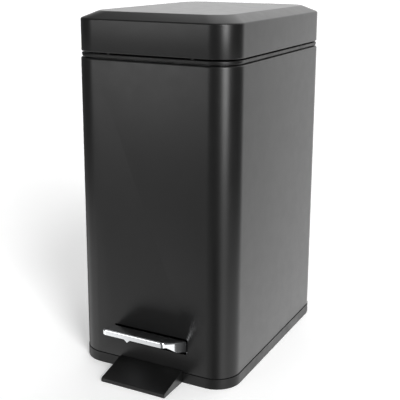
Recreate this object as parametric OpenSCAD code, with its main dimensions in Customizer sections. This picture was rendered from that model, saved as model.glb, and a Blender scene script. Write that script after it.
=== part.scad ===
// Slim pedal trash can. Millimetres. The origin is on the floor, at the centre of the body's plan.
// +X is to the right of a person facing the can, -Y is the pedal side and +Z is up.

/* [Body] */
// Width of the body, side to side
body_w = 135; // [115:1:200]
// Depth of the body, front to back
body_d = 186; // [155:1:260]
// Height of the closed can
total_h = 280; // [230:1:400]
// Plan radius of the upright corners
corner_r = 20; // [16.5:0.5:26]
// Thickness of the body and lid sheet
sheet = 0.8; // [0.5:0.1:1.2]
// Radius of the shoulder at the shell's top edge
shoulder_r = 1.5; // [1.3:0.1:2.5]
// Width of the flange turned inwards at the shell's mouth
mouth_flange = 6; // [5:0.5:7]

/* [Lid] */
// Height of the lid's upright wall
lid_wall_h = 24.6; // [20:0.2:36]
// Height of the lid's bevel
bevel_h = 5.4; // [3:0.2:8]
// Width of the lid's bevel in plan
bevel_in = 11.2; // [6:0.2:14]
// How far the lid's wall stands inside the body's face
lid_inset = 0.35; // [0.2:0.05:0.6]
// Height of the hem folded inside the lid's edge
hem_h = 3.6; // [3:0.2:4]
// Gap between the collar and the closed lid
lid_gap = 1; // [0.8:0.1:2]
// Angle through which the lid opens, in degrees
lid_open = 70; // [56:1:76]

/* [Collar] */
// Height of the collar above the shell
collar_h = 3.4; // [3:0.1:6]
// Height of the shadow groove under the collar's band
groove_h = 0.7; // [0.4:0.1:1.2]
// How far the band stands inside the body's face
band_inset = 0.7; // [0.5:0.1:1.2]
// Edge radius of the band
band_r = 0.8; // [0.4:0.1:1.1]
// Depth of the collar's skirt inside the shell
skirt_h = 10; // [6:1:16]
// Wall of the collar's skirt
skirt_t = 1.6; // [1.2:0.1:2]
// Thickness of the deck behind the bucket
deck_t = 2.4; // [2:0.1:3]
// Width of the ledge that the bucket's rim sits on
ledge = 4; // [3:0.5:5]

/* [Base] */
// Height of the tray's visible ring
tray_h = 8.2; // [6:0.2:14]
// How far the ring stands proud of the body's face
tray_proud = 0.4; // [0.2:0.1:1.5]
// Thickness of the tray's floor
floor_t = 2.5; // [2:0.1:3]
// Wall of the tray's ring and upstand
tray_t = 2; // [1.6:0.1:2.6]
// Height of the upstand inside the shell
upstand_h = 20; // [16:1:22]
// Width of the anti-tip foot
foot_w = 56; // [40:1:60]
// How far the foot reaches in front of the body
foot_l = 28; // [20:1:34]
// Height of the foot at the body
foot_h = 9.7; // [8.5:0.1:12]
// Height of the foot's front lip
foot_lip = 3.6; // [3:0.1:6]

/* [Pedal] */
// Width of the pedal at the body
pedal_w = 64; // [56:1:70]
// Width of the pedal at its front lip
pedal_front_w = 56; // [44:1:56]
// How far the pedal reaches in front of the body
pedal_l = 27; // [22:1:32]
// Height of the pedal's top at the front lip
pedal_z = 44.2; // [42:0.2:48]
// Slope of the pedal's top, down towards the body, in degrees
pedal_tilt = 17.7; // [14:0.1:20]
// Depth of the pedal's front lip
lip_h = 4.8; // [4:0.1:6]
// Thickness of the pedal's plate
pedal_t = 1; // [0.8:0.1:1.2]
// Plan radius of the pedal's front corners
pedal_r = 4.5; // [2:0.5:6]
// Distance from the body's face back to the pedal's axle
axle_in = 11; // [10:0.5:14]
// Height of the pedal's axle
axle_z = 25; // [24:0.5:26]
// Radius of the pedal's axle
axle_r = 2; // [1.5:0.1:2.2]

/* [Lever and rod] */
// Distance from the lid's hinge pin to the push rod's upper end
lug_r = 28; // [24:0.5:30]
// Radius of the push rod
rod_r = 1.75; // [1.5:0.05:2]
// Distance of the rod's shank from the middle of the can
rod_x = 8; // [7:0.5:12]
// Height of the rod's lower end at rest
rod_low_z = 10.5; // [10:0.5:14]
// Thickness of the levers
lever_t = 2; // [1.5:0.1:2.5]
// Radius of the pedal lever's rear end
lever_end_r = 4.5; // [4.2:0.1:5]

/* [Hinge] */
// Distance from the body's rear face back to the hinge pin
hinge_out = 5; // [4.8:0.1:7]
// Height of the hinge pin above the shell's top edge
hinge_up = 5.4; // [5:0.1:7]
// Outside radius of the hinge knuckles
knuckle_r = 3.4; // [2.8:0.1:3.6]
// Radius of the hinge pin
pin_r = 1.5; // [1.2:0.1:1.8]
// Width of the hinge
hinge_w = 48; // [40:1:60]
// Width of the lid's knuckle in the middle
lid_knuckle_w = 23; // [16:1:28]
// Thickness of the hinge leaves
leaf_t = 1.5; // [1.2:0.1:1.5]

/* [Bucket] */
// Wall of the bucket
bucket_t = 1.5; // [1.2:0.1:2.5]
// Thickness of the bucket's rim
rim_t = 2; // [1.6:0.1:2.4]
// How much narrower each side of the bucket is at its bottom
bucket_taper = 3.5; // [1:0.5:6]
// Radius of the bail's wire
bail_r = 1.5; // [1.2:0.1:1.6]
// Radius of the bail's grip
grip_r = 4.2; // [3:0.1:4.4]
// Length of the bail's grip
grip_l = 50; // [30:1:70]

/* [Fits] */
// Radial clearance of a pin that turns in its bore
run_play = 0.08; // [0.02:0.01:0.1]
// Clearance between pieces that slide past each other
slide_play = 0.3; // [0.2:0.05:0.5]
// Clearance between pieces that are put together once
fit_play = 0.2; // [0.1:0.05:0.3]

/* [Hidden] */
$fn = 48;
eps = 0.01;
front_y = -body_d / 2;
back_y = body_d / 2;
shell_top = total_h - bevel_h - lid_wall_h - lid_gap - collar_h;
collar_top = shell_top + collar_h;
lid_low = collar_top + lid_gap;
lid_edge = lid_low + lid_wall_h;

// Mouth of the collar: insets are measured inwards from the body's face
skirt_in = mouth_flange + fit_play;
mouth_in = skirt_in + skirt_t;
trim = 2;
rim_sunk = 0.8;
rim_z = collar_top - rim_t - rim_sunk;
neck_in = 3.2;

// Hinge and the lid's lever
hinge_y = back_y + hinge_out;
hinge_z = shell_top + hinge_up;
lug_drop = lid_open / 2;
rod_y = hinge_y - lug_r * cos(lug_drop);
rod_top_z = hinge_z - lug_r * sin(lug_drop);
rod_travel = 2 * lug_r * sin(lug_drop);
lug_slot_near = lug_r * cos(lug_drop);
lug_play = 0.9;
lug_wall = 2.2;
plate_h = 28;
web_turn = 20;
web_rise = 7;
leaf_rise = 20;
leaf_gap = 0.6;
lever_plate = [44, 16];
lever_rise = 6.5;
elbow_back = 7;
hem_gap = 0.4;
lug_end_r = rod_r + lug_play + lug_wall;

// Slot in the deck for the rod and the lid's lever
deck_slot_front = hinge_y - lug_r - lug_end_r - slide_play;
deck_slot_back = back_y - skirt_in;
deck_slot_left = -rod_x - rod_r - 1;
deck_slot_right = 5.5;
slot_land = 3;
mouth_back = deck_slot_front - slot_land - ledge;

// Pedal and its lever
axle_y = front_y + axle_in;
pedal_front = front_y - pedal_l;
lever_gap = 2.2;
bucket_low = rod_low_z + rod_travel + lever_end_r + lever_gap;
ear_x = 28.5;
ear_t = 1.5;
ear_r = 4.8;
ear_rise = 4;
bush_r = 3;
axle_clip = [0.6, 1.3];
axle_clip_r = axle_r * 1.8;
bush_collar_r = 4;
bush_gap = 0.1;
bush_collar_t = pedal_w / 2 - pedal_t - ear_x - ear_t - 2 * bush_gap;
opening_play = [1, 1.7, 0.8];
opening_w = pedal_w + 2 * opening_play[0];
opening_low = axle_z - opening_play[1];
opening_high = pedal_top(front_y) + opening_play[2];
tail_w = 20;
tail_front = 5;
tail_back = 24;
relief = 5;
lever_flange_t = 1.5;
rod_clip = [lever_t / 2 + 0.5, lever_t / 2 + 1.3];
rod_end_x = 3.6;
lever_bend = [axle_y + 34, rod_low_z];
lever_slot = [1.3, 0];
rest_pad = [10, 12];
rest_pad_back = 16;
bracket_z = 8;
bracket_t = 1.5;
pin_grip = 0.02;
bracket_front = front_y + 3.5;
bracket_back = front_y + 22.5;

// Lower edge of the pedal's flanges: distance in front of the body, and height above the axle
flange_edge = [[-2, 1], [0, 1], [6, 3.6], [13, 5.9]];

// Tab under the pedal's lip, left of the middle: place, width and depth
tab_x = -4.7;
tab_w = 5;
tab_h = 2.2;

// Fasteners
rivet_r = 1.6;
rivet_head_r = 3;
rivet_head_h = 1.1;
rivet_tail_r = rivet_r * 1.5;
rivet_reach = 5;
lever_rivet_at = [6, 16];
screw_r = 1.3;
screw_head_r = 2.8;
screw_head_h = 1.7;
recess_l = 3;
recess_w = 0.7;
recess_depth = 0.9;
boss_r = 3.4;
foot_boss_r = 4.5;
foot_boss_h = 7.5;
base_screw_l = 7.5;
bracket_screw_l = 6;
foot_screw_l = 4.5;
foot_head_z = 1.4;
screw_hole = 5.2;
tongue_l = 20.2;
tongue_top = floor_t + fit_play;
hole_play = 0.1;
bracket_rivets_at = [for (x = [-16, 16], z = [-22, -8]) [x, shell_top + z]];
lid_rivets_at = [for (x = [-16, 16], z = [8, 16]) [x, lid_low + z]];
guide_z = [64, shell_top - 41];
guide_plate = [26, 14, 2.4];
guide_hole_x = 9;
guide_arm = [rod_r + 3.2, 8];
guide_rivets_at = [for (x = [-guide_hole_x, guide_hole_x], z = guide_z) [x - rod_x, z]];
base_screws_at = [for (x = [-35, 35]) [x, 14]];
bracket_screws_at = [for (x = [-22, 22], y = [7, 18]) [x, front_y + y]];
foot_screw_at = [0, front_y + 13];
bumper_r = 1.2;
bumper_inset = mouth_in - ledge - bumper_r;
bumper_peg = 2;
bumper_squash = 0.1;
bumper_at = [35, body_d / 2 - 50];

// Bucket and bail
bucket_gap = 2.2;
bucket_in = mouth_in + bucket_gap;
bail_y = -12;
bail_z = rim_z - 6.2;
bail_in = 1.6;
bail_x = body_w / 2 - bucket_in - bucket_t - bail_r - bail_in;
bail_bend_r = 2.4;
grip_in = 1.2;
grip_play = 0.05;
grip_y = front_y + mouth_in + grip_in;
grip_z = rim_z + rim_t + grip_r + slide_play;

// Rounded rectangle, centred
module rounded_rect(w, d, r) {
    square([w - 2 * r, d], center = true);
    square([w, d - 2 * r], center = true);
    for (x = [-1, 1], y = [-1, 1])
        translate([x * (w / 2 - r), y * (d / 2 - r)]) circle(r);
}

// The body's plan, drawn in by an inset
module body_plan(inset) {
    rounded_rect(body_w - 2 * inset, body_d - 2 * inset, corner_r - inset);
}

// Carries a profile round the body's plan: x = 0 is the body's face, and inwards is negative
module round_plan() {
    for (side = [0:3]) {
        half_x = (side % 2 == 0 ? body_w : body_d) / 2 - corner_r;
        half_y = (side % 2 == 0 ? body_d : body_w) / 2 - corner_r;
        rotate(90 * side) translate([half_x, half_y, 0]) {
            rotate_extrude(angle = 90) translate([corner_r, 0]) children();
            rotate([90, 0, 0]) linear_extrude(2 * half_y) translate([corner_r, 0]) children();
        }
    }
}

// Extrudes a (y, z) outline from x0 to x1
module along_x(x0, x1) {
    translate([x0, 0, 0]) rotate([90, 0, 90]) linear_extrude(x1 - x0) children();
}

// Straight bar with round ends, in 2D
module bar_2d(a, b, r) {
    run = b - a;
    translate(a) circle(r);
    translate(b) circle(r);
    translate(a) rotate(atan2(run[1], run[0])) translate([0, -r]) square([norm(run), 2 * r]);
}

// Round bar from a to b
module bar(a, b, r) {
    run = b - a;
    translate(a) rotate([0, acos(run[2] / norm(run)), atan2(run[1], run[0])]) cylinder(r = r, h = norm(run));
}

// Quarter of a ring in the first quadrant
module quarter_ring(outer, inner) {
    intersection() {
        difference() {
            circle(outer);
            circle(inner);
        }
        square(outer + 1);
    }
}

// Cutters for holes along Y through the rear walls
module rear_holes(places, r, y0, y1) {
    for (p = places)
        translate([p[0], y0, p[1]]) rotate([-90, 0, 0]) cylinder(r = r, h = y1 - y0);
}

// Rivet along Y: a domed head outside y1 and a flat one inside y0
module rivet(y0, y1) {
    dome_r = (rivet_head_r * rivet_head_r + rivet_head_h * rivet_head_h) / (2 * rivet_head_h);
    translate([0, y0, 0]) rotate([-90, 0, 0]) cylinder(r = rivet_r, h = y1 - y0 + eps);
    translate([0, y0 - rivet_head_h, 0]) rotate([-90, 0, 0]) cylinder(r = rivet_tail_r, h = rivet_head_h);
    translate([0, y1, 0]) rotate([-90, 0, 0]) intersection() {
        translate([0, 0, rivet_head_h - dome_r]) sphere(dome_r);
        cylinder(r = rivet_head_r, h = rivet_head_h);
    }
}

// Pan-head screw with its head above z = 0 and a cross recess
module pan_screw(depth) {
    difference() {
        union() {
            cylinder(r = screw_head_r, h = screw_head_h * 0.6);
            translate([0, 0, screw_head_h * 0.6 - eps])
                cylinder(r1 = screw_head_r, r2 = screw_head_r * 0.6, h = screw_head_h * 0.4);
            translate([0, 0, -depth]) cylinder(r = screw_r, h = depth + eps);
        }
        for (a = [0, 90])
            rotate(a) translate([-recess_l / 2, -recess_w / 2, screw_head_h - recess_depth])
                cube([recess_l, recess_w, 1]);
    }
}

module body_shell() {
    color("#2b2b2d") difference() {
        round_plan() {
            translate([-sheet, tray_h]) square([sheet, shell_top - shoulder_r - tray_h + eps]);
            translate([-shoulder_r, shell_top - shoulder_r])
                quarter_ring(shoulder_r, shoulder_r - sheet);
            translate([-mouth_flange, shell_top - sheet])
                square([mouth_flange - shoulder_r + eps, sheet]);
        }
        translate([-opening_w / 2, front_y - sheet, opening_low])
            cube([opening_w, 3 * sheet, opening_high - opening_low]);
        rear_holes(bracket_rivets_at, rivet_r + hole_play, back_y - 2 * sheet, back_y + sheet);
        rear_holes(guide_rivets_at, rivet_r + hole_play, back_y - 2 * sheet, back_y + sheet);
        rear_holes(base_screws_at, screw_r + hole_play, back_y - 2 * sheet, back_y + sheet);
    }
}

// Profile of the collar's band and skirt, with spare width inside that the mouth trims away
module band_profile() {
    band_low = shell_top + groove_h;
    inner = mouth_in + trim;
    translate([-inner, shell_top]) square([inner - neck_in, collar_h]);
    translate([-inner, band_low]) square([inner - band_inset - band_r, collar_h - groove_h]);
    translate([-inner, band_low + band_r])
        square([inner - band_inset, collar_h - groove_h - 2 * band_r]);
    for (z = [band_low + band_r, collar_top - band_r])
        translate([-band_inset - band_r, z]) circle(band_r);
    translate([-inner, shell_top - skirt_h]) square([inner - skirt_in, skirt_h + eps]);
}

// The bucket's plan at a clearance from the collar's mouth
module mouth_plan(inset) {
    side = body_w - 2 * mouth_in - 2 * inset;
    front = front_y + mouth_in + inset;
    back = mouth_back - inset;
    translate([0, (front + back) / 2]) rounded_rect(side, back - front, corner_r - mouth_in - inset);
}

module top_collar() {
    pocket_z = collar_top - deck_t;
    color("#1c1c1d") difference() {
        union() {
            round_plan() band_profile();
            translate([0, 0, shell_top]) linear_extrude(collar_h)
                body_plan(mouth_in - ledge);
            translate([0, 0, shell_top - skirt_h]) linear_extrude(skirt_h + eps)
                intersection() {
                    body_plan(skirt_in + skirt_t / 2);
                    translate([-body_w / 2, mouth_back - skirt_t]) square([body_w, body_d]);
                }
        }
        translate([0, 0, rim_z]) linear_extrude(rim_t + collar_h)
            mouth_plan(-ledge);
        translate([0, 0, shell_top - skirt_h - 1]) linear_extrude(skirt_h + collar_h + 2)
            mouth_plan(0);
        translate([0, 0, shell_top - skirt_h - 1])
            linear_extrude(pocket_z - shell_top + skirt_h + 1) intersection() {
                body_plan(mouth_in);
                translate([-body_w / 2, mouth_back + skirt_t + ledge]) square([body_w, body_d]);
            }
        translate([deck_slot_left, deck_slot_front, shell_top - 2])
            cube([deck_slot_right - deck_slot_left, deck_slot_back - deck_slot_front, 2 * collar_h + 2]);
        bumper_places() translate([0, 0, collar_top - bumper_peg]) cylinder(r = bumper_r / 2, h = collar_h);
    }
}

// Four places on the collar's band, under the lid's hem
module bumper_places() {
    for (x = [-1, 1]) {
        translate([x * bumper_at[0], front_y + bumper_inset, 0]) children();
        translate([x * (body_w / 2 - bumper_inset), bumper_at[1], 0]) children();
    }
}

module lid_bumpers() {
    color("#101010") bumper_places() {
        translate([0, 0, collar_top - bumper_peg]) cylinder(r = bumper_r / 2, h = bumper_peg + eps);
        translate([0, 0, collar_top]) cylinder(r = bumper_r, h = lid_gap - bumper_squash);
    }
}

module base_tray() {
    inner = sheet + fit_play;
    pad = [36, 24, floor_t + 2.2];
    tongue_side = 3;
    block = [8, 6];
    back_face = back_y - inner - tray_t;
    color("#1c1c1d") difference() {
        union() {
            linear_extrude(floor_t) body_plan(0);
            round_plan() {
                translate([-inner - tray_t, 0]) square([inner + tray_t + tray_proud, tray_h]);
                translate([-inner - tray_t, tray_h - eps]) square([tray_t, upstand_h - tray_h]);
            }
            for (p = bracket_screws_at) translate([p[0], p[1], 0]) cylinder(r = boss_r, h = bracket_z);
            translate([foot_screw_at[0], foot_screw_at[1], 0]) cylinder(r = foot_boss_r, h = foot_boss_h);
            translate([-pad[0] / 2, front_y + inner, 0]) cube(pad);
            for (p = base_screws_at)
                translate([p[0] - block[0] / 2, back_face - block[1], 0])
                    cube([block[0], block[1] + eps, upstand_h - 1]);
        }
        for (p = bracket_screws_at)
            translate([p[0], p[1], bracket_z - screw_hole])
                cylinder(r = screw_r + hole_play / 2, h = bracket_z);
        translate([foot_screw_at[0], foot_screw_at[1], floor_t - 1])
            cylinder(r = screw_r + hole_play, h = foot_screw_l);
        translate([-pad[0] / 2 + tongue_side - fit_play, front_y - 2 * tray_proud, -1])
            cube([
                pad[0] - 2 * tongue_side + 2 * fit_play, tongue_l + 2 * tray_proud,
                tongue_top + 1 + fit_play
            ]);
        rear_holes(base_screws_at, screw_r + hole_play / 2, back_face - block[1] + 1, back_y);
    }
}

module base_screws() {
    color("#3a3a3c") for (p = base_screws_at)
        translate([p[0], back_y, p[1]]) rotate([-90, 0, 0]) pan_screw(base_screw_l);
}

module front_foot() {
    rear = front_y - tray_proud - 0.1;
    tip = front_y - foot_l;
    under = [foot_h - 3.4, foot_lip - 1.4];
    pocket_back = 3;
    pocket_front = 6;
    pocket_step = 17.5;
    pocket_half = 7.8;
    tongue = [30, 22.5];
    color("#1a1a1b") difference() {
        union() {
            along_x(-foot_w / 2, foot_w / 2) difference() {
                union() {
                    polygon([
                        [rear, 0], [rear, foot_h], [tip + foot_lip / 2, foot_lip],
                        [tip, foot_lip / 2], [tip, 0]
                    ]);
                    translate([tip + foot_lip / 2, foot_lip / 2]) circle(foot_lip / 2);
                }
                translate([tip - 1, -foot_h]) square([foot_l + 2, foot_h]);
            }
            translate([-tongue[0] / 2, rear - pocket_back, 0]) cube([tongue[0], tongue[1], tongue_top]);
        }
        for (x = [-1, 0, 1])
            along_x(x * pocket_step - pocket_half, x * pocket_step + pocket_half) polygon([
                [rear - pocket_back, -1], [rear - pocket_back, under[0]],
                [tip + pocket_front, under[1]], [tip + pocket_front, -1]
            ]);
        translate([foot_screw_at[0], foot_screw_at[1], -1]) {
            cylinder(r = screw_r + hole_play, h = foot_h);
            cylinder(r = screw_head_r + hole_play, h = foot_head_z + 1);
        }
    }
}

module foot_screw() {
    head_h = 1.2;
    shank = foot_screw_l - 0.1;
    color("#8d8f92") translate([foot_screw_at[0], foot_screw_at[1], foot_head_z]) mirror([0, 0, 1])
        difference() {
            union() {
                cylinder(r = screw_head_r, h = head_h);
                translate([0, 0, -shank]) cylinder(r = screw_r, h = shank + eps);
            }
            for (a = [0, 90])
                rotate(a) translate([-recess_l / 2, -recess_w / 2, head_h - recess_w])
                    cube([recess_l, recess_w, head_h]);
        }
}

module pedal_bracket() {
    color("#9a9c9f") difference() {
        union() {
            translate([-ear_x - ear_t, bracket_front, bracket_z])
                cube([2 * (ear_x + ear_t), bracket_back - bracket_front, bracket_t]);
            for (x = [-ear_x - ear_t, ear_x]) along_x(x, x + ear_t) {
                translate([axle_y, axle_z]) circle(ear_r);
                polygon([
                    [bracket_front, bracket_z], [bracket_front, bracket_z + ear_rise],
                    [axle_y - ear_r, axle_z],
                    [axle_y + ear_r, axle_z], [bracket_back, bracket_z + ear_rise], [bracket_back, bracket_z]
                ]);
            }
        }
        along_x(-pedal_w / 2, pedal_w / 2) translate([axle_y, axle_z]) circle(axle_r + pin_grip);
        for (p = bracket_screws_at)
            translate([p[0], p[1], bracket_z - 1]) cylinder(r = screw_r + hole_play, h = 3 * bracket_t);
    }
}

module bracket_screws() {
    color("#8d8f92") for (p = bracket_screws_at)
        translate([p[0], p[1], bracket_z + bracket_t]) pan_screw(bracket_screw_l);
}

module pedal_axle() {
    half = pedal_w / 2 + axle_clip[1] + 0.3;
    color("#b4b6b8") along_x(-half, half) translate([axle_y, axle_z]) circle(axle_r);
}

module axle_clips() {
    color("#77797b") for (side = [0, 1]) mirror([side, 0, 0])
        along_x(pedal_w / 2 + axle_clip[0], pedal_w / 2 + axle_clip[1])
            translate([axle_y, axle_z]) difference() {
            circle(axle_clip_r);
            circle(axle_r + pin_grip);
            rotate(-90) translate([0, -axle_r * 0.7]) square([axle_clip_r + 1, axle_r * 1.4]);
        }
}

module lever_rest_pad() {
    pad_y = rod_y - rest_pad_back;
    pad_h = rod_low_z - lever_end_r - floor_t - slide_play;
    color("#151515") translate([-rest_pad[0] / 2, pad_y - rest_pad[1] / 2, floor_t])
        cube([rest_pad[0], rest_pad[1], pad_h]);
}

module rod_guides() {
    wall_y = back_y - sheet;
    arm_half = guide_arm[0];
    arm_h = guide_arm[1];
    color("#d8d5cc") for (z = guide_z) translate([-rod_x, 0, z]) difference() {
        union() {
            translate([-guide_plate[0] / 2, wall_y - guide_plate[2], -guide_plate[1] / 2])
                cube([guide_plate[0], guide_plate[2], guide_plate[1]]);
            translate([-arm_half, rod_y, -arm_h / 2])
                cube([2 * arm_half, wall_y - rod_y - guide_plate[2] / 2, arm_h]);
            translate([0, rod_y, -arm_h / 2]) cylinder(r = arm_half, h = arm_h);
        }
        translate([0, rod_y, -arm_h]) cylinder(r = rod_r + slide_play, h = 2 * arm_h);
        rear_holes(
            [[-guide_hole_x, 0], [guide_hole_x, 0]], rivet_r + hole_play,
            wall_y - 2 * guide_plate[2], wall_y + 1
        );
    }
}

module guide_rivets() {
    color("#8f9193") for (p = guide_rivets_at)
        translate([p[0], 0, p[1]]) rivet(back_y - sheet - guide_plate[2], back_y);
}

module hinge_pin_bore(x0, x1, play) {
    along_x(x0, x1) translate([hinge_y, hinge_z]) circle(pin_r + play);
}

module hinge_bracket() {
    half = hinge_w / 2;
    inner = lid_knuckle_w / 2 + slide_play;
    plate_low = shell_top - plate_h;
    plate_high = shell_top - 1;
    web_low = shell_top - 4;
    color("#242426") difference() {
        union() {
            along_x(-half, half) translate([back_y, plate_low]) square([leaf_t, plate_high - plate_low]);
            for (side = [0, 1]) mirror([side, 0, 0]) along_x(inner, half) {
                translate([hinge_y, hinge_z]) circle(knuckle_r);
                polygon([
                    [back_y, web_low], [back_y + leaf_t, web_low],
                    [hinge_y + knuckle_r * sin(web_turn), hinge_z - knuckle_r * cos(web_turn)],
                    [hinge_y, hinge_z], [back_y, hinge_z]
                ]);
            }
        }
        hinge_pin_bore(-half - 1, half + 1, pin_grip);
        rear_holes(bracket_rivets_at, rivet_r + hole_play, back_y - 1, back_y + leaf_t + 1);
    }
}

module hinge_rivets() {
    color("#8f9193") for (p = bracket_rivets_at)
        translate([p[0], 0, p[1]]) rivet(back_y - sheet, back_y + leaf_t);
}

module hinge_pin() {
    half = hinge_w / 2;
    head_t = 1;
    gap = 0.1;
    color("#b4b6b8") {
        hinge_pin_bore(-half - 2 * gap, half + 2 * gap, 0);
        for (side = [0, 1]) mirror([side, 0, 0])
            along_x(half + gap, half + gap + head_t) translate([hinge_y, hinge_z]) circle(pin_r * 1.6);
    }
}

module lid_profile() {
    face = -lid_inset;
    flat = -lid_inset - bevel_in;
    slope = atan2(bevel_h, bevel_in);
    wall_turn = sheet * tan((90 - slope) / 2);
    flat_turn = sheet * tan(slope / 2);
    panel_in = 1 - corner_r;
    polygon([
        [face, lid_low], [face, lid_edge], [flat, total_h], [panel_in, total_h],
        [panel_in, total_h - sheet], [flat - flat_turn, total_h - sheet],
        [face - sheet, lid_edge - wall_turn], [face - sheet, lid_low]
    ]);
    translate([face - 2 * sheet, lid_low]) square([sheet + eps, hem_h]);
}

module lid_shell() {
    color("#2b2b2d") difference() {
        union() {
            round_plan() lid_profile();
            translate([0, 0, total_h - sheet]) linear_extrude(sheet) body_plan(corner_r - 2);
        }
        rear_holes(lid_rivets_at, rivet_r + hole_play, back_y - 3 * sheet, back_y + sheet);
    }
}

module lid_hinge_leaf() {
    face = back_y - lid_inset;
    half = hinge_w / 2;
    leaf_low = hinge_z + leaf_gap;
    color("#242426") difference() {
        union() {
            along_x(-half, half)
                translate([face, leaf_low]) square([leaf_t, lid_low + leaf_rise - leaf_low]);
            along_x(-lid_knuckle_w / 2, lid_knuckle_w / 2) {
                translate([hinge_y, hinge_z]) circle(knuckle_r);
                polygon([
                    [face, hinge_z], [hinge_y, hinge_z],
                    [hinge_y + knuckle_r * sin(web_turn), hinge_z + knuckle_r * cos(web_turn)],
                    [face + leaf_t, hinge_z + web_rise], [face, hinge_z + web_rise]
                ]);
            }
        }
        hinge_pin_bore(-half - 1, half + 1, run_play);
        rear_holes(lid_rivets_at, rivet_r + hole_play, face - 1, face + leaf_t + 1);
    }
}

module lid_lever() {
    face = back_y - lid_inset - sheet;
    arm_z = lid_low + lever_rise;
    elbow = [rod_y + elbow_back, arm_z];
    lug_end = [rod_y, rod_top_z];
    lug_near = [hinge_y - lug_slot_near * cos(lug_drop), hinge_z - lug_slot_near * sin(lug_drop)];
    color("#9a9c9f") difference() {
        union() {
            translate([-lever_plate[0] / 2, face - leaf_t, lid_low + hem_h + hem_gap])
                cube([lever_plate[0], leaf_t, lever_plate[1]]);
            along_x(-lever_t / 2, lever_t / 2) {
                bar_2d(elbow, lug_end, lug_end_r);
                bar_2d(lug_near, lug_end, lug_end_r);
                translate([elbow[0], arm_z - lug_end_r])
                    square([face - leaf_t + fit_play - elbow[0], 2 * lug_end_r]);
            }
        }
        along_x(-lever_t, lever_t) bar_2d(lug_near, lug_end, rod_r + lug_play);
        rear_holes(lid_rivets_at, rivet_r + hole_play, face - leaf_t - 1, face + 1);
    }
}

module lid_rivets() {
    face = back_y - lid_inset;
    color("#8f9193") for (p = lid_rivets_at)
        translate([p[0], 0, p[1]]) rivet(face - sheet - leaf_t, face + leaf_t);
}

// Height of the pedal's top at a given y
function pedal_top(y) = pedal_z - (y - pedal_front) * tan(pedal_tilt);

// Points of an arc
function arc(centre, r, from, to, steps) =
    [for (i = [0:steps]) let (a = from + (to - from) * i / steps) centre + r * [cos(a), sin(a)]];

// Plan of the pedal, drawn in by an inset, with its round front corners
function pedal_plan(inset) =
    let (
        w = pedal_w / 2 - inset,
        front_w = pedal_front_w / 2 - inset,
        tip = pedal_front + inset,
        r = pedal_r - inset,
        swell = front_y - 12,
        right = concat(
            arc([front_w - r, tip + r], r, -90, -15, 6),
            [[w - 0.5, swell], [w, front_y], [w, axle_y + 6]]
        )
    )
    concat(right, [for (i = [len(right) - 1:-1:0]) [-right[i][0], right[i][1]]]);

// Side outline of the pedal's flanges, from the lip to the axle's lobe
function flange_outline() = [
    [pedal_front - 1, pedal_z + 1], [axle_y + 6, pedal_top(axle_y + 6)], [axle_y + 6, axle_z - 1],
    [axle_y, axle_z - ear_r + 0.4],
    for (e = flange_edge) [front_y - e[0], axle_z + e[1]],
    [pedal_front + 2.5, pedal_z - lip_h], [pedal_front - 1, pedal_z - lip_h]
];

module pedal_plate() {
    tail_from = axle_y + tail_front;
    tail_y = axle_y + tail_back;
    color("#d9dadc") difference() {
        union() {
            difference() {
                intersection() {
                    linear_extrude(pedal_z + 5) polygon(pedal_plan(0));
                    along_x(-pedal_w, pedal_w) difference() {
                        polygon(flange_outline());
                        pedal_above(0);
                    }
                }
                intersection() {
                    linear_extrude(pedal_z + 5) polygon(pedal_plan(pedal_t));
                    along_x(-pedal_w, pedal_w) difference() {
                        translate([pedal_front - 2, 0]) square([pedal_l + 60, pedal_z + 5]);
                        pedal_above(pedal_t);
                    }
                }
                translate([-pedal_w / 2 + pedal_t, axle_y + tail_front, 0])
                    cube([pedal_w - 2 * pedal_t, relief, axle_z - 1 + ear_r]);
            }
            along_x(-tail_w / 2, tail_w / 2) polygon([
                [tail_from, pedal_top(tail_from)], [tail_y, pedal_top(tail_y)],
                [tail_y, pedal_top(tail_y) - plate_drop()], [tail_from, pedal_top(tail_from) - plate_drop()]
            ]);
            translate([tab_x, pedal_front + pedal_t, pedal_z - lip_h + eps]) rotate([90, 0, 0])
                linear_extrude(pedal_t) polygon([[-tab_w / 2, 0], [tab_w / 2, 0], [0, -tab_h]]);
        }
        along_x(-pedal_w, pedal_w) translate([axle_y, axle_z]) circle(bush_r + pin_grip);
        lever_rivet_places() translate([0, 0, -rivet_reach])
            cylinder(r = rivet_r + hole_play, h = 2 * rivet_reach);
    }
}

// Vertical thickness of the sloping plate
function plate_drop() = pedal_t / cos(pedal_tilt);

// Everything above the pedal's top, lowered by a plate's thickness
module pedal_above(t) {
    drop = t / cos(pedal_tilt);
    polygon([
        [pedal_front - 3, pedal_top(pedal_front - 3) - drop], [axle_y + 60, pedal_top(axle_y + 60) - drop],
        [axle_y + 60, pedal_z + 60], [pedal_front - 3, pedal_z + 60]
    ]);
}

// Places of the lever's rivets, square to the pedal's plate
module lever_rivet_places() {
    y = axle_y + lever_rivet_at[1];
    for (x = [-lever_rivet_at[0], lever_rivet_at[0]])
        translate([x, y, pedal_top(y)]) rotate([-pedal_tilt, 0, 0]) children();
}

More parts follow.
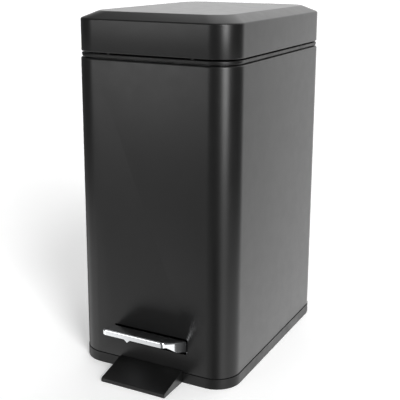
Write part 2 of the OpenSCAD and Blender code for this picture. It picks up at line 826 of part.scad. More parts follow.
module lever_arm() {
    under = plate_drop();
    from_y = axle_y + 9;
    to_y = axle_y + tail_back;
    web_half = lever_end_r - 0.8;
    rod_end = [rod_y, rod_low_z];
    color("#9a9c9f") difference() {
        union() {
            along_x(-tail_w / 2, tail_w / 2) polygon([
                [from_y, pedal_top(from_y) - under], [to_y, pedal_top(to_y) - under],
                [to_y, pedal_top(to_y) - under - lever_flange_t],
                [from_y, pedal_top(from_y) - under - lever_flange_t]
            ]);
            along_x(-lever_t / 2, lever_t / 2) {
                polygon([
                    [from_y, pedal_top(from_y) - under - lever_flange_t / 2],
                    [to_y, pedal_top(to_y) - under - lever_flange_t / 2],
                    lever_bend + [1, web_half], lever_bend - [0, web_half],
                    [from_y, pedal_top(from_y) - under - 6]
                ]);
                bar_2d(lever_bend, rod_end + lever_slot, lever_end_r);
            }
        }
        along_x(-lever_t, lever_t)
            bar_2d(rod_end - lever_slot, rod_end + lever_slot, rod_r + slide_play);
        lever_rivet_places() translate([0, 0, -rivet_reach])
            cylinder(r = rivet_r + hole_play, h = 2 * rivet_reach);
    }
}

module lever_rivets() {
    depth = pedal_t + lever_flange_t * cos(pedal_tilt);
    color("#8f9193") lever_rivet_places() {
        cylinder(r = rivet_head_r, h = rivet_head_h * 0.8);
        translate([0, 0, -depth]) cylinder(r = rivet_r, h = depth + eps);
        translate([0, 0, -depth - rivet_head_h]) cylinder(r = rivet_tail_r, h = rivet_head_h);
    }
}

module pedal_bushes() {
    inside = pedal_w / 2 - pedal_t;
    color("#e6e3da") for (side = [0, 1]) mirror([side, 0, 0]) difference() {
        union() {
            along_x(inside - bush_collar_t, inside - eps) translate([axle_y, axle_z]) circle(bush_collar_r);
            along_x(inside - bush_collar_t, pedal_w / 2 + 0.4) translate([axle_y, axle_z]) circle(bush_r);
        }
        along_x(0, pedal_w) translate([axle_y, axle_z]) circle(axle_r + run_play);
    }
}

module push_rod() {
    low = [-rod_x, rod_y, rod_low_z];
    high = [-rod_x, rod_y, rod_top_z];
    color("#b4b6b8") {
        bar(low, high, rod_r);
        for (end = [low, high]) {
            translate(end) sphere(rod_r);
            bar(end, end + [rod_x + rod_end_x, 0, 0], rod_r);
        }
    }
}

module rod_clips() {
    color("#77797b") for (z = [rod_low_z, rod_top_z])
        along_x(rod_clip[0], rod_clip[1]) translate([rod_y, z]) difference() {
            circle(rod_r * 1.9);
            circle(rod_r + pin_grip);
        }
}

// Tapered solid of the bucket at an inset, from its bottom to its top
module bucket_solid(inset, low, high) {
    hull() {
        translate([0, 0, high - eps]) linear_extrude(eps) mouth_plan(bucket_in - mouth_in + inset);
        translate([0, 0, low]) linear_extrude(eps) mouth_plan(bucket_in - mouth_in + inset + bucket_taper);
    }
}

module inner_bucket() {
    rim_edge = -ledge + slide_play;
    color("#26272a") difference() {
        union() {
            bucket_solid(0, bucket_low, rim_z + eps);
            translate([0, 0, rim_z]) linear_extrude(rim_t) mouth_plan(rim_edge);
        }
        bucket_solid(bucket_t, bucket_low + bucket_t, rim_z + rim_t + 1);
        along_x(-body_w, body_w) translate([bail_y, bail_z]) circle(bail_r + fit_play);
    }
}

// Quarter bend of the bail's wire, from +X towards +Y about the bend's centre
module wire_bend(turn) {
    rotate(turn) rotate_extrude(angle = 90) translate([bail_bend_r, 0]) circle(bail_r);
}

module bail_handle() {
    reach = norm([grip_y - bail_y, grip_z - bail_z]);
    rise = atan2(grip_z - bail_z, bail_y - grip_y);
    stub_x = body_w / 2 - bucket_in + fit_play;
    color("#b4b6b8") translate([0, bail_y, bail_z]) rotate([-rise, 0, 0]) {
        for (side = [0, 1]) mirror([side, 0, 0]) {
            translate([bail_x + bail_bend_r, -bail_bend_r, 0]) wire_bend(90);
            translate([bail_x + bail_bend_r, 0, 0]) rotate([0, 90, 0])
                cylinder(r = bail_r, h = stub_x - bail_x - bail_bend_r);
            translate([bail_x, -bail_bend_r, 0]) rotate([90, 0, 0])
                cylinder(r = bail_r, h = reach - 2 * bail_bend_r);
            translate([bail_x - bail_bend_r, bail_bend_r - reach, 0]) wire_bend(-90);
        }
        translate([bail_bend_r - bail_x, -reach, 0]) rotate([0, 90, 0])
            cylinder(r = bail_r, h = 2 * (bail_x - bail_bend_r));
    }
}

module bail_grip() {
    color("#1a1a1b") difference() {
        along_x(-grip_l / 2, grip_l / 2) translate([grip_y, grip_z]) circle(grip_r);
        along_x(-grip_l, grip_l) translate([grip_y, grip_z]) circle(bail_r + grip_play);
    }
}

body_shell();
top_collar();
lid_bumpers();
base_tray();
base_screws();
front_foot();
foot_screw();
pedal_bracket();
bracket_screws();
pedal_axle();
axle_clips();
lever_rest_pad();
rod_guides();
guide_rivets();
hinge_bracket();
hinge_rivets();
hinge_pin();
lid_shell();
lid_hinge_leaf();
lid_lever();
lid_rivets();
pedal_plate();
lever_arm();
lever_rivets();
pedal_bushes();
push_rod();
rod_clips();
inner_bucket();
bail_handle();
bail_grip();
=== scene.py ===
import math

import bmesh
import bpy
from mathutils import Matrix, Vector


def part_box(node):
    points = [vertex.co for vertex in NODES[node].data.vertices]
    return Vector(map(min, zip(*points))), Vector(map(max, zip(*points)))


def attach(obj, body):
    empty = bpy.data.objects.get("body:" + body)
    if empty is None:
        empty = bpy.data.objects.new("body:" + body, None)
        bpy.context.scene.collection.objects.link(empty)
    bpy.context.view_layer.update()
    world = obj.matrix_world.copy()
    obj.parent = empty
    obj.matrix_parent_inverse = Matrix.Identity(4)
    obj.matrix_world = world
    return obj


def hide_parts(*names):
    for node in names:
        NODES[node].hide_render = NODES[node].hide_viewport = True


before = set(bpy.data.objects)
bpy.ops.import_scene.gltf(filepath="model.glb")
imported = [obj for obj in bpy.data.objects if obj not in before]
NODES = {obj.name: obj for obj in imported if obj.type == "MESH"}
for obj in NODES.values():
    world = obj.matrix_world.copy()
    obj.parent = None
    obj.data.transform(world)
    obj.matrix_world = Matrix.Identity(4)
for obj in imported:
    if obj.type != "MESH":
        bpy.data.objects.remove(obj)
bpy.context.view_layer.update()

MM = 0.001

# ---------------------------------------------------------------- sizes, read from the frame
shell_lo, shell_hi = (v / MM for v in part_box("body_shell"))
lid_lo, lid_hi = (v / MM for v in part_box("lid_shell"))
pedal_lo, pedal_hi = (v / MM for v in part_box("pedal_plate"))

BODY_W, BODY_D = shell_hi.x - shell_lo.x, shell_hi.y - shell_lo.y
FRONT_Y = shell_lo.y
SHELL_LOW, SHELL_TOP = shell_lo.z, shell_hi.z
LID_LOW, LID_TOP = lid_lo.z, lid_hi.z
CORNER_R = 20.0
SHEET = 0.8
SHOULDER_R = 1.5
FLANGE = 6.0
LID_INSET = (BODY_W - (lid_hi.x - lid_lo.x)) / 2
BEVEL_H, BEVEL_IN = 5.4, 11.2
HEM_H = 3.6
CORNER_STEPS = 20
SHARP_DEG = 40


# ---------------------------------------------------------------- mesh helpers
def fillet(points, steps=5):
    """Points of an (offset, z) line. Each point is (offset, z, radius): a corner with a radius is rounded."""
    out = []
    count = len(points)
    for i, (x, z, r) in enumerate(points):
        if r <= 0:
            out.append((x, z))
            continue
        here = Vector((x, z))
        before = Vector(points[i - 1][:2])
        after = Vector(points[(i + 1) % count][:2])
        a, b = (before - here).normalized(), (after - here).normalized()
        half = a.angle(b) / 2
        reach = r / math.tan(half)
        centre = here + (a + b).normalized() * (r / math.sin(half))
        start, end = here + a * reach - centre, here + b * reach - centre
        turn = start.angle_signed(end)
        for k in range(steps + 1):
            spin = Matrix.Rotation(-turn * k / steps, 2)
            out.append(tuple(centre + spin @ start))
    return out


def plan_points(w, d, r, offset, middle_y=0.0):
    """Rounded rectangle drawn out by an offset, as a loop of (x, y)."""
    radius = max(r + offset, 0.05)
    half_x, half_y = w / 2 + offset - radius, d / 2 + offset - radius
    loop = []
    for quarter, (sx, sy) in enumerate([(1, 1), (-1, 1), (-1, -1), (1, -1)]):
        for k in range(CORNER_STEPS + 1):
            a = math.radians(90 * quarter + 90 * k / CORNER_STEPS)
            x, y = sx * half_x + radius * math.cos(a), sy * half_y + radius * math.sin(a)
            loop.append((x, middle_y + y))
    return loop


def sweep(bm, profile, plan, closed, radius_at=None):
    """Carries a profile of (offset, z) round a plan. An open profile's two ends are capped with flat faces.
    radius_at gives the plan's corner radius at an offset, where it isn't drawn in with the offset."""
    w, d, r, middle_y = plan
    rings = []
    for offset, z in profile:
        corner_r = radius_at(offset) - offset if radius_at else r
        loop = plan_points(w, d, corner_r, offset, middle_y)
        rings.append([bm.verts.new((x * MM, y * MM, z * MM)) for x, y in loop])
    size = len(rings[0])
    for i in range(len(rings) if closed else len(rings) - 1):
        low, high = rings[i], rings[(i + 1) % len(rings)]
        for k in range(size):
            n = (k + 1) % size
            bm.faces.new((low[k], low[n], high[n], high[k]))
    if not closed:
        bm.faces.new(rings[0])
        bm.faces.new(rings[-1])


def piece(name, bm, body, slot, replaced, sharp_deg=SHARP_DEG):
    """Makes a piece from a bmesh, with its shading, its body, its slot's material and the nodes it replaces."""
    bmesh.ops.recalc_face_normals(bm, faces=bm.faces)
    mesh = bpy.data.meshes.new(name)
    bm.to_mesh(mesh)
    bm.free()
    mesh.shade_smooth()
    mesh.set_sharp_from_angle(angle=math.radians(sharp_deg))
    obj = bpy.data.objects.new(name, mesh)
    bpy.context.scene.collection.objects.link(obj)
    mesh.materials.append(MATERIALS[slot])
    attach(obj, body)
    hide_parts(*replaced)
    return obj


def add_box(bm, low, high, round_r):
    """Adds a box with rounded edges, from low to high, in millimetres."""
    centre, size = (Vector(low) + Vector(high)) / 2 * MM, (Vector(high) - Vector(low)) * MM
    made = bmesh.ops.create_cube(bm, size=1, matrix=Matrix.Translation(centre) @ Matrix.Diagonal((*size, 1)))
    edges = {e for v in made["verts"] for e in v.link_edges}
    bmesh.ops.bevel(
        bm, geom=list(edges), offset=round_r * MM, offset_type="OFFSET", segments=3, profile=0.5,
        affect="EDGES",
    )


def cut(obj, low, high, round_r):
    """Cuts a box with rounded edges out of a piece's mesh."""
    bm = bmesh.new()
    add_box(bm, low, high, round_r)
    mesh = bpy.data.meshes.new("cutter")
    bm.to_mesh(mesh)
    bm.free()
    tool = bpy.data.objects.new("cutter", mesh)
    bpy.context.scene.collection.objects.link(tool)
    modifier = obj.modifiers.new("cut", "BOOLEAN")
    modifier.operation = "DIFFERENCE"
    modifier.solver = "EXACT"
    modifier.object = tool
    graph = bpy.context.evaluated_depsgraph_get()
    result = bpy.data.meshes.new_from_object(obj.evaluated_get(graph))
    obj.modifiers.remove(modifier)
    obj.data = result
    bpy.data.objects.remove(tool)
    result.shade_smooth()
    result.set_sharp_from_angle(angle=math.radians(SHARP_DEG))


# ---------------------------------------------------------------- materials
class Graph:
    """A node tree, and short ways to add nodes to it."""

    def __init__(self, tree):
        self.tree = tree

    def node(self, kind, **inputs):
        made = self.tree.nodes.new(kind)
        for key, value in inputs.items():
            self.put(made.inputs[key.replace("_", " ")], value)
        return made

    def put(self, socket, value):
        if isinstance(value, bpy.types.NodeSocket):
            self.tree.links.new(value, socket)
        else:
            socket.default_value = value

    def math(self, operation, *values):
        made = self.tree.nodes.new("ShaderNodeMath")
        made.operation = operation
        for socket, value in zip(made.inputs, values):
            self.put(socket, value)
        return made.outputs[0]

    def step(self, value, zero_at, one_at):
        """Smooth step from 0 to 1."""
        made = self.node("ShaderNodeMapRange", Value=value, From_Min=zero_at, From_Max=one_at)
        made.interpolation_type = "SMOOTHSTEP"
        return made.outputs["Result"]


class Surface(Graph):
    """A Principled material whose colour, roughness and bump come from procedural textures in object space."""

    def __init__(self, name, **sockets):
        self.material = bpy.data.materials.new(name)
        self.material.use_nodes = True
        super().__init__(self.material.node_tree)
        self.shader = next(n for n in self.tree.nodes if n.type == "BSDF_PRINCIPLED")
        for key, value in sockets.items():
            self.shader.inputs[key.replace("_", " ")].default_value = value
        self.place = self.node("ShaderNodeTexCoord").outputs["Object"]
        self.normal = None

    def stretched(self, x, y, z):
        """Object coordinates scaled per axis, for grain that runs one way."""
        return self.node("ShaderNodeMapping", Vector=self.place, Scale=(x, y, z)).outputs["Vector"]

    def noise(self, size_mm, detail=3.0, place=None, distortion=0.0):
        made = self.node(
            "ShaderNodeTexNoise", Vector=place or self.place, Scale=1 / (size_mm * MM), Detail=detail,
            Roughness=0.5, Distortion=distortion,
        )
        return made.outputs["Fac"]

    def cells(self, size_mm):
        made = self.node("ShaderNodeTexVoronoi", Vector=self.place, Scale=1 / (size_mm * MM))
        return made.outputs["Color"]

    def ramp(self, value, stops):
        made = self.node("ShaderNodeValToRGB", Fac=value)
        points = made.color_ramp.elements
        while len(points) < len(stops):
            points.new(0.5)
        for point, (where, colour) in zip(points, stops):
            point.position = where
            point.color = (*colour, 1.0) if len(colour) == 3 else colour
        return made.outputs["Color"]

    def span(self, value, low, high, from_low=0.35, from_high=0.65):
        made = self.node(
            "ShaderNodeMapRange", Value=value, From_Min=from_low, From_Max=from_high, To_Min=low, To_Max=high,
        )
        return made.outputs["Result"]

    def mix(self, factor, a, b, blend="MIX"):
        made = self.tree.nodes.new("ShaderNodeMix")
        made.data_type = "RGBA"
        made.blend_type = blend
        for socket, value in ((made.inputs[0], factor), (made.inputs[6], a), (made.inputs[7], b)):
            if isinstance(value, bpy.types.NodeSocket):
                self.tree.links.new(value, socket)
            elif isinstance(value, tuple):
                socket.default_value = (*value, 1.0) if len(value) == 3 else value
            else:
                socket.default_value = value
        return made.outputs[2]

    def colour(self, socket):
        self.tree.links.new(socket, self.shader.inputs["Base Color"])
        return self

    def roughness(self, socket):
        self.tree.links.new(socket, self.shader.inputs["Roughness"])
        return self

    def bump(self, height, distance_mm):
        made = self.node("ShaderNodeBump", Height=height, Distance=distance_mm * MM, Strength=1.0)
        if self.normal:
            self.tree.links.new(self.normal, made.inputs["Normal"])
        self.normal = made.outputs["Normal"]
        self.tree.links.new(self.normal, self.shader.inputs["Normal"])
        return self


def grey(v, tint=(1.0, 1.0, 1.0)):
    return tuple(v * t for t in tint)


def powder_coat(name, base, rough):
    """Satin powder coat: cloudy colour, fine orange peel and a finer grain."""
    s = Surface(name, IOR=1.45, Specular_IOR_Level=0.5)
    clouds = s.noise(60, detail=4)
    specks = s.noise(0.5, detail=2)
    tone = s.ramp(clouds, [(0.3, grey(base * 0.85)), (0.7, grey(base * 1.15))])
    s.colour(s.mix(s.span(specks, 0.0, 0.35), tone, grey(base * 1.8)))
    s.roughness(s.span(s.noise(9, detail=5), rough - 0.012, rough + 0.015))
    s.bump(s.noise(1.6, detail=2), 0.006)
    s.bump(s.noise(0.45, detail=3), 0.004)
    return s.material


def moulded(name, base, rough, tint=(1, 1, 1), grain_mm=0.6, depth=0.01):
    """Moulded plastic: a fine spark-eroded grain and faint flow marks."""
    s = Surface(name, IOR=1.48, Specular_IOR_Level=0.38)
    flow = s.noise(30, detail=3, distortion=0.8)
    tone = s.ramp(flow, [(0.3, grey(base * 0.85, tint)), (0.7, grey(base * 1.15, tint))])
    s.colour(s.mix(s.span(s.noise(0.4), 0.0, 0.3), tone, grey(base * 1.6, tint)))
    s.roughness(s.span(s.noise(12, detail=4), rough - 0.05, rough + 0.05))
    s.bump(s.noise(grain_mm, detail=3), depth)
    return s.material


def metal(
    name, tone, rough, tint=(1, 1, 1), grain=(1, 1, 1), grain_mm=0.5, depth=0.002, stain=0.15, cloud_mm=14,
):
    """Plated or drawn metal: a cloudy tone, and grain that may run one way."""
    s = Surface(name, Metallic=1.0)
    run = s.stretched(*grain)
    clouds = s.noise(cloud_mm, detail=5)
    lines = s.noise(grain_mm, detail=3, place=run)
    dull, clean = tone * (1 - stain), min(1, tone * (1 + stain / 3))
    body = s.ramp(clouds, [(0.3, grey(dull, tint)), (0.7, grey(clean, tint))])
    s.colour(s.mix(s.span(lines, 0.0, 0.25), body, grey(tone * 0.8, tint)))
    s.roughness(s.span(s.mix(0.5, clouds, lines), max(rough * 0.7, 0.02), rough * 1.4, 0.3, 0.7))
    s.bump(lines, depth)
    return s.material


def galvanised(name):
    """Hot-dip zinc: spangles of slightly different grey."""
    s = Surface(name, Metallic=1.0)
    spangle = s.cells(5)
    grain = s.noise(0.5)
    tone = s.ramp(spangle, [(0.0, grey(0.36, (0.98, 1, 1.03))), (1.0, grey(0.6, (0.98, 1, 1.03)))])
    s.colour(s.mix(s.span(grain, 0.0, 0.3), tone, grey(0.34)))
    s.roughness(s.span(spangle, 0.3, 0.48, 0.0, 1.0))
    s.bump(grain, 0.006)
    return s.material


def rubber(name):
    s = Surface(name, IOR=1.5, Specular_IOR_Level=0.3)
    tone = s.ramp(s.noise(3, detail=4), [(0.3, grey(0.012)), (0.7, grey(0.022))])
    s.colour(tone).roughness(s.span(s.noise(1.2), 0.65, 0.85)).bump(s.noise(0.5), 0.02)
    return s.material


def nylon(name):
    s = Surface(name, IOR=1.53, Subsurface_Weight=0.12, Subsurface_Radius=(0.002, 0.0017, 0.0013))
    tone = s.ramp(s.noise(6, detail=4), [(0.3, (0.62, 0.59, 0.5)), (0.7, (0.72, 0.69, 0.61))])
    s.colour(tone).roughness(s.span(s.noise(2), 0.38, 0.52)).bump(s.noise(0.7), 0.01)
    return s.material


MATERIALS = {
    "black_powder_coat": powder_coat("satin_powder_coat", 0.0045, 0.33),
    "black_hinge_steel": powder_coat("hinge_powder_coat", 0.005, 0.4),
    "black_moulded_plastic": moulded("black_plastic", 0.005, 0.4),
    "polished_chrome": metal("chrome", 0.9, 0.07, (0.98, 1, 1.02), depth=0.0006, stain=0.05),
    "galvanised_steel": galvanised("galvanised_sheet"),
    "bright_wire": metal("drawn_wire", 0.62, 0.24, grain=(1, 1, 0.08), grain_mm=0.5, depth=0.0012),
    "zinc_fasteners": metal("zinc_plate", 0.52, 0.34, (1.0, 0.99, 0.95), grain_mm=0.3, cloud_mm=3),
    "spring_steel_clips": metal("spring_steel", 0.26, 0.3, (0.9, 0.96, 1.06), grain_mm=0.3, cloud_mm=4),
    "black_rubber": rubber("black_rubber"),
    "natural_nylon": nylon("natural_nylon"),
    "bucket_plastic": moulded("bucket_plastic", 0.012, 0.46, (1, 1, 1.04), grain_mm=0.9, depth=0.02),
    "grip_plastic": moulded("grip_plastic", 0.007, 0.32, grain_mm=0.5, depth=0.006),
}
SLOT_NODES = {
    "black_powder_coat": ["body_shell", "lid_shell"],
    "black_hinge_steel": ["hinge_bracket", "lid_hinge_leaf"],
    "black_moulded_plastic": ["top_collar", "base_tray", "front_foot"],
    "polished_chrome": ["pedal_plate"],
    "galvanised_steel": ["pedal_bracket", "lever_arm", "lid_lever"],
    "bright_wire": ["pedal_axle", "hinge_pin", "push_rod", "bail_handle"],
    "zinc_fasteners": [
        "base_screws", "foot_screw", "bracket_screws", "guide_rivets", "hinge_rivets", "lid_rivets",
        "lever_rivets",
    ],
    "spring_steel_clips": ["axle_clips", "rod_clips"],
    "black_rubber": ["lid_bumpers", "lever_rest_pad"],
    "natural_nylon": ["rod_guides", "pedal_bushes"],
    "bucket_plastic": ["inner_bucket"],
    "grip_plastic": ["bail_grip"],
}

# ---------------------------------------------------------------- CAD nodes: material and rounded edges
EDGE_MM = {"front_foot": 0.7, "base_tray": 0.7, "bail_grip": 1.2, "lever_rest_pad": 0.6, "rod_guides": 0.5}
FINE_EDGE_MM = 0.2
WELD_MM = 0.001
FLAT_DEG = 0.4
for slot, names in SLOT_NODES.items():
    for node_name in names:
        obj = NODES[node_name]
        obj.data.materials.clear()
        obj.data.materials.append(MATERIALS[slot])
        weld = obj.modifiers.new("weld", "WELD")
        weld.merge_threshold = WELD_MM * MM
        flat = obj.modifiers.new("flat", "DECIMATE")
        flat.decimate_type = "DISSOLVE"
        flat.angle_limit = math.radians(FLAT_DEG)
        edge = obj.modifiers.new("edge", "BEVEL")
        edge.width = EDGE_MM.get(node_name, FINE_EDGE_MM) * MM
        edge.segments = 3
        edge.limit_method = "ANGLE"
        edge.angle_limit = math.radians(SHARP_DEG)
        smooth = obj.modifiers.new("smooth", "WEIGHTED_NORMAL")
        smooth.keep_sharp = False
        obj.data.shade_smooth()

# ---------------------------------------------------------------- body shell
BODY_PLAN = (BODY_W, BODY_D, CORNER_R, 0.0)
LOW_EDGE_R, LOW_INNER_R, FLANGE_EDGE_R = 0.7, 0.05, 0.3
body_profile = fillet([
    (0, SHELL_LOW, LOW_EDGE_R), (0, SHELL_TOP, SHOULDER_R), (-FLANGE, SHELL_TOP, FLANGE_EDGE_R),
    (-FLANGE, SHELL_TOP - SHEET, FLANGE_EDGE_R), (-SHEET, SHELL_TOP - SHEET, SHOULDER_R - SHEET),
    (-SHEET, SHELL_LOW, LOW_INNER_R),
])
bm = bmesh.new()
sweep(bm, body_profile, BODY_PLAN, closed=True)
body = piece("body_skin", bm, "bin", "black_powder_coat", ["body_shell"])

PEDAL_TILT = math.radians(17.7)
PEDAL_TIP, PEDAL_HIGH = pedal_lo.y, pedal_hi.z
OPENING_HALF, OPENING_LOW, OPENING_GAP = 32.5, 23.3, 0.8
OPENING_R, CUT_REACH = 0.6, 5.0


def pedal_top(y):
    """Height of the pedal's top at a place from front to back."""
    return PEDAL_HIGH - (y - PEDAL_TIP) * math.tan(PEDAL_TILT)


cut(
    body, (-OPENING_HALF, FRONT_Y - CUT_REACH, OPENING_LOW),
    (OPENING_HALF, FRONT_Y + CUT_REACH, pedal_top(FRONT_Y) + OPENING_GAP), OPENING_R,
)

# ---------------------------------------------------------------- lid
face = -LID_INSET
lid_edge = LID_TOP - BEVEL_H
slope = math.atan2(BEVEL_H, BEVEL_IN)
wall_turn = SHEET * math.tan((math.pi / 2 - slope) / 2)
flat_turn = SHEET * math.tan(slope / 2)
flat_x = face - BEVEL_IN
middle_x = 0.2 - CORNER_R
FLAT_EDGE_R, FLAT_INNER_R = 2.5, 1.5
EDGE_R, EDGE_INNER_R = 1.8, 1.0
HEM_R, HEM_END_R, HEM_GAP = 0.75, 0.25, 0.02
lid_profile = fillet([
    (middle_x, LID_TOP, 0), (flat_x, LID_TOP, FLAT_EDGE_R), (face, lid_edge, EDGE_R), (face, LID_LOW, HEM_R),
    (face - 2 * SHEET, LID_LOW, HEM_R), (face - 2 * SHEET, LID_LOW + HEM_H, HEM_END_R),
    (face - SHEET - HEM_GAP, LID_LOW + HEM_H, HEM_GAP), (face - SHEET, lid_edge - wall_turn, EDGE_INNER_R),
    (flat_x - flat_turn, LID_TOP - SHEET, FLAT_INNER_R), (middle_x, LID_TOP - SHEET, 0),
])
LID_FLAT_R = 17.0


def lid_radius(offset):
    """Plan radius of the lid's corners. The flat's are rounder than the wall's offset would make them."""
    share = min(max((face - offset) / BEVEL_IN, 0), 1)
    return (CORNER_R + face) * (1 - share) + LID_FLAT_R * share


bm = bmesh.new()
sweep(bm, lid_profile, BODY_PLAN, closed=False, radius_at=lid_radius)
piece("lid_skin", bm, "lid", "black_powder_coat", ["lid_shell"])

# ---------------------------------------------------------------- pedal
PEDAL_T, PEDAL_EDGE = 1.0, 0.2
PEDAL_FRONT_HALF, PEDAL_HALF, PEDAL_R = 28.0, pedal_hi.x, 4.5
PEDAL_REAR = FRONT_Y + 17
AXLE_Z = 25.0
TAIL_HALF, TAIL_REAR = 10.0, pedal_hi.y
LIP_H = 4.8
LIP_LOW = PEDAL_HIGH - LIP_H
# Lower edge of the side flange, from the lip to the rear
FLANGE_LOW = [(PEDAL_TIP - 1, LIP_LOW), (PEDAL_TIP + 2.5, LIP_LOW)] + [
    (FRONT_Y + y, AXLE_Z + z) for y, z in [(-13, 5.9), (-6, 3.6), (0, 1), (2, 1), (11, -4.4), (17, -1)]
]
FLANGE_EASE = 1.2
TAB_X, TAB_HALF, TAB_H = -4.7, 2.5, 2.2
RIM_R, RIM_STEPS = 1.6, 6
SIDE_STEPS = 36


def along(line, at):
    """Value at a place on a line of (place, value) points."""
    for (a, va), (b, vb) in zip(line, line[1:]):
        if at <= b:
            return va + (vb - va) * (at - a) / (b - a)
    return line[-1][1]


def pedal_low(y):
    """Lower edge of the flange, with its corners eased."""
    places = [min(max(y + FLANGE_EASE * k, PEDAL_TIP), PEDAL_REAR) for k in (-1, -0.5, 0, 0.5, 1)]
    return sum(along(FLANGE_LOW, place) for place in places) / len(places)


corner = []
for turn in range(-90, -10, 8):
    a = math.radians(turn)
    x, y = PEDAL_FRONT_HALF - PEDAL_R + PEDAL_R * math.cos(a), PEDAL_TIP + PEDAL_R + PEDAL_R * math.sin(a)
    corner.append((x, y))
corner_x, corner_y = corner[-1]
side = []
for k in range(1, SIDE_STEPS + 1):
    y = corner_y + (PEDAL_REAR - corner_y) * k / SIDE_STEPS
    left = max((FRONT_Y - y) / (FRONT_Y - corner_y), 0)
    side.append((PEDAL_HALF - (PEDAL_HALF - corner_x) * left ** 2, y))
half_line = corner + side
tab = [(TAB_X + TAB_HALF * k, PEDAL_TIP) for k in (-1, 0, 1)]
loop = [(-x, y) for x, y in reversed(half_line)] + tab + half_line


def inward(k):
    """Direction from a point of the pedal's outline into its plate."""
    run = Vector(loop[min(k + 1, len(loop) - 1)]) - Vector(loop[max(k - 1, 0)])
    return Vector((-run.y, run.x)).normalized()


bm = bmesh.new()
rows = []
for k, (x, y) in enumerate(loop):
    drop = TAB_H if (x, y) == tab[1] else 0
    row = []
    for step in range(RIM_STEPS + 1):
        turn = math.pi / 2 * step / RIM_STEPS
        at = Vector((x, y)) + inward(k) * RIM_R * (1 - math.sin(turn))
        row.append((at.x, at.y, pedal_top(at.y) - RIM_R * (1 - math.cos(turn))))
    row.append((x, y, pedal_low(y) - drop))
    rows.append([bm.verts.new(Vector(point) * MM) for point in row])
for left, right in zip(rows, rows[1:]):
    for k in range(len(left) - 1):
        bm.faces.new((left[k], left[k + 1], right[k + 1], right[k]))
tail = [
    bm.verts.new((x * MM, y * MM, pedal_top(y) * MM))
    for x, y in [
        (TAIL_HALF, PEDAL_REAR), (TAIL_HALF, TAIL_REAR), (-TAIL_HALF, TAIL_REAR), (-TAIL_HALF, PEDAL_REAR),
    ]
]
bm.faces.new([row[0] for row in rows] + tail)
pedal = piece("pedal_tread", bm, "pedal", "polished_chrome", ["pedal_plate"], sharp_deg=30)
plate = pedal.modifiers.new("plate", "SOLIDIFY")
plate.thickness = PEDAL_T * MM
plate.offset = -1
edge = pedal.modifiers.new("edge", "BEVEL")
edge.width, edge.segments = PEDAL_EDGE * MM, 2
edge.limit_method, edge.angle_limit = "ANGLE", math.radians(50)
smooth = pedal.modifiers.new("smooth", "WEIGHTED_NORMAL")
smooth.keep_sharp = True

# ---------------------------------------------------------------- studio: world, floor
# Soft cards round the object, as seen from it. Azimuth is from the front, positive to the right, in degrees:
# (azimuth, half width, soft edge, lowest and highest elevation, soft edge, radiance)
CARDS = [
    (180, 33, 14, -60, 46, 8, 1.65),
    (-30, 4, 10, 1, 14, 9, 5.2),
    (-32, 10, 8, -70, -6, 8, 0.22),
    (52, 5, 10, 0, 48, 9, 15.0),
    (52, 8, 14, -70, -6, 8, 0.8),
    (95, 45, 16, -90, -23, 5, 1.3),
    (-75, 30, 16, -90, -20, 5, 1.1),
    (180, 75, 35, 56, 90, 10, 1.0),
    (-30, 26, 12, -90, -22, 5, 0.55),
]
DARK_ROOM = 0.17
FLOOR_HALF_M = 6.0
FLOOR_GLOW = 0.28

world = bpy.data.worlds.new("studio")
bpy.context.scene.world = world
world.use_nodes = True
world.node_tree.nodes.clear()
sky = Graph(world.node_tree)
ray = sky.node("ShaderNodeTexCoord").outputs["Generated"]
direction = sky.node("ShaderNodeSeparateXYZ", Vector=ray).outputs
to_front = sky.math("MULTIPLY", direction["Y"], -1.0)
azimuth = sky.math("DEGREES", sky.math("ARCTAN2", direction["X"], to_front))
elevation = sky.math("DEGREES", sky.math("ARCSINE", direction["Z"]))
light = DARK_ROOM
for centre, half, soft, low, high, fade, radiance in CARDS:
    off = sky.math("ABSOLUTE", sky.math("WRAP", sky.math("SUBTRACT", azimuth, centre), 180.0, -180.0))
    card = sky.math("MULTIPLY", sky.step(off, half + soft, half), sky.step(elevation, low - fade, low))
    card = sky.math("MULTIPLY", card, sky.step(elevation, high + fade, high))
    light = sky.math("MULTIPLY_ADD", card, radiance, light)
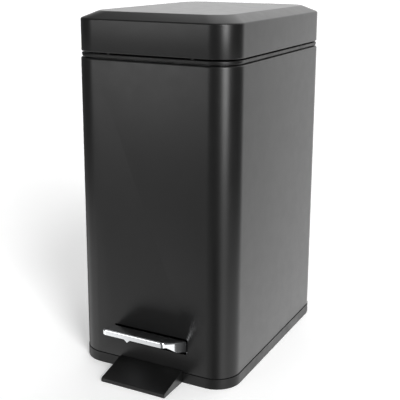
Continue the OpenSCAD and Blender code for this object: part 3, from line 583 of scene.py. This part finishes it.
studio = sky.node("ShaderNodeBackground", Strength=light).outputs[0]
backdrop = sky.node("ShaderNodeBackground", Color=(1, 1, 1, 1), Strength=1.0).outputs[0]
shown = sky.node("ShaderNodeMixShader", Fac=sky.node("ShaderNodeLightPath").outputs["Is Camera Ray"])
sky.tree.links.new(studio, shown.inputs[1])
sky.tree.links.new(backdrop, shown.inputs[2])
sky.tree.links.new(shown.outputs[0], sky.node("ShaderNodeOutputWorld").inputs["Surface"])

floor_mesh = bpy.data.meshes.new("floor")
bm = bmesh.new()
bmesh.ops.create_grid(bm, x_segments=1, y_segments=1, size=FLOOR_HALF_M)
bm.to_mesh(floor_mesh)
bm.free()
floor = bpy.data.objects.new("floor", floor_mesh)
bpy.context.scene.collection.objects.link(floor)
paper = Surface("paper_sweep", IOR=1.3, Specular_IOR_Level=0.0)
paper.colour(paper.ramp(paper.noise(80), [(0.3, grey(0.93)), (0.7, grey(0.95))]))
paper.shader.inputs["Emission Color"].default_value = (1, 1, 1, 1)
paper.shader.inputs["Emission Strength"].default_value = FLOOR_GLOW
paper.roughness(paper.span(paper.noise(10), 0.85, 0.95))
floor_mesh.materials.append(paper.material)
floor.visible_glossy = False

# ---------------------------------------------------------------- camera
LENS_MM = 74.7
CAMERA_AT = (0.30618, -0.60499, 0.31804)
CAMERA_AIM = (-0.00528, 0.0, 0.15287)
CAMERA_ROLL = 0.0042

camera_data = bpy.data.cameras.new("camera")
camera = bpy.data.objects.new("camera", camera_data)
bpy.context.scene.collection.objects.link(camera)
bpy.context.scene.camera = camera
camera_data.sensor_width = 36.0
camera_data.lens = LENS_MM
camera_data.shift_y = -0.1
camera_data.clip_start, camera_data.clip_end = 0.02, 30.0
camera.location = CAMERA_AT
aim = Vector(CAMERA_AIM) - camera.location
look = aim.to_track_quat("-Z", "Y").to_matrix().to_4x4()
camera.matrix_world = Matrix.Translation(camera.location) @ look @ Matrix.Rotation(CAMERA_ROLL, 4, "Z")

bpy.context.scene.view_settings.view_transform = "Standard"
bpy.context.scene.view_settings.look = "None"
